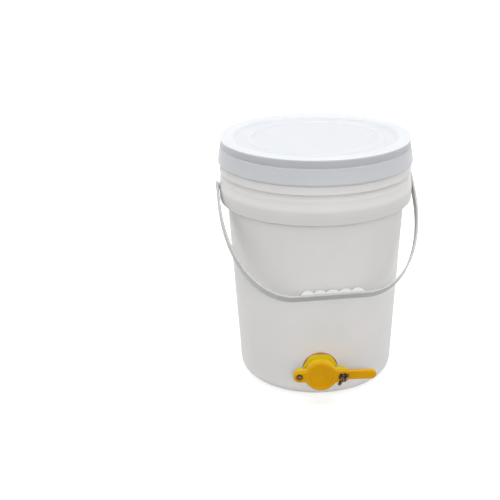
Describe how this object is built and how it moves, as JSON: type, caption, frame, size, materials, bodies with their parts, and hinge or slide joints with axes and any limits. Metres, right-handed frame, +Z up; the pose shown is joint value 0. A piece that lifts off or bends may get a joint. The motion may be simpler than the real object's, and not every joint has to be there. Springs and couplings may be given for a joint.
{
  "type": "honey bucket with gate",
  "caption": "White tapered plastic pail with a lift-off snap lid, a swinging band bail with a finger grip, and a yellow swing-plate honey gate clamped by a wing nut low on its front.",
  "frame": {"origin": "centre of the ring foot, on the surface that the bucket stands on", "axes": "+Z up along the bucket's axis, the honey gate faces -Y, +X to the right when facing the gate"},
  "size_m": [0.2093, 0.2128, 0.26],
  "materials": {
    "bucket_plastic": "satin moulded translucent polypropylene",
    "lid_plastic": "satin moulded polypropylene, slightly cooler white",
    "bail_plastic": "satin moulded polyethylene",
    "gate_plastic": "glossy lemon yellow nylon",
    "plate_plastic": "glossy amber yellow nylon",
    "seal_rubber": "soft light brown rubber",
    "lid_seal_rubber": "soft pale grey rubber",
    "steel": "zinc plated steel, dulled"
  },
  "bodies": {
    "bucket": {"bucket": "bucket_plastic", "gate_body": "gate_plastic", "flange_seal": "seal_rubber", "inner_seal": "seal_rubber", "lock_nut": "gate_plastic", "pivot_screw": "steel", "pivot_washer": "steel", "pivot_nut": "steel", "clamp_bolt": "steel"},
    "lid": {"lid": "lid_plastic", "lid_seal": "lid_seal_rubber"},
    "bail": {"bail": "bail_plastic"},
    "gate_plate": {"gate_plate": "plate_plastic"},
    "clamp_washer": {"clamp_washer": "steel"},
    "wing_nut": {"wing_nut": "steel"}
  },
  "joints": [
    {"name": "lid_lift", "type": "slide", "parent": "bucket", "child": "lid", "axis": [0, 0, 1], "range_m": [0, 0.08]},
    {"name": "bail_swing", "type": "hinge", "parent": "bucket", "child": "bail", "pos_m": [0, 0, 0.21], "axis": [-0.9932, -0.1167, 0], "range_deg": [0, 265]},
    {"name": "gate_swing", "type": "hinge", "parent": "bucket", "child": "gate_plate", "pos_m": [-0.022, -0.10064, 0.03476], "axis": [0, -0.9986, -0.0523], "range_deg": [0, 90]},
    {"name": "clamp_washer_slide", "type": "slide", "parent": "bucket", "child": "clamp_washer", "axis": [0, -0.9986, -0.0523], "range_m": [0, 0.0021]},
    {"name": "wing_nut_spin", "type": "hinge", "parent": "clamp_washer", "child": "wing_nut", "pos_m": [0.022, -0.10464, 0.03455], "axis": [0, -0.9986, -0.0523], "range_deg": [0, 1080]}
  ],
  "couplings": [
    {"joint": "wing_nut_spin", "follows": "clamp_washer_slide", "rad_per_m": 8976}
  ]
}
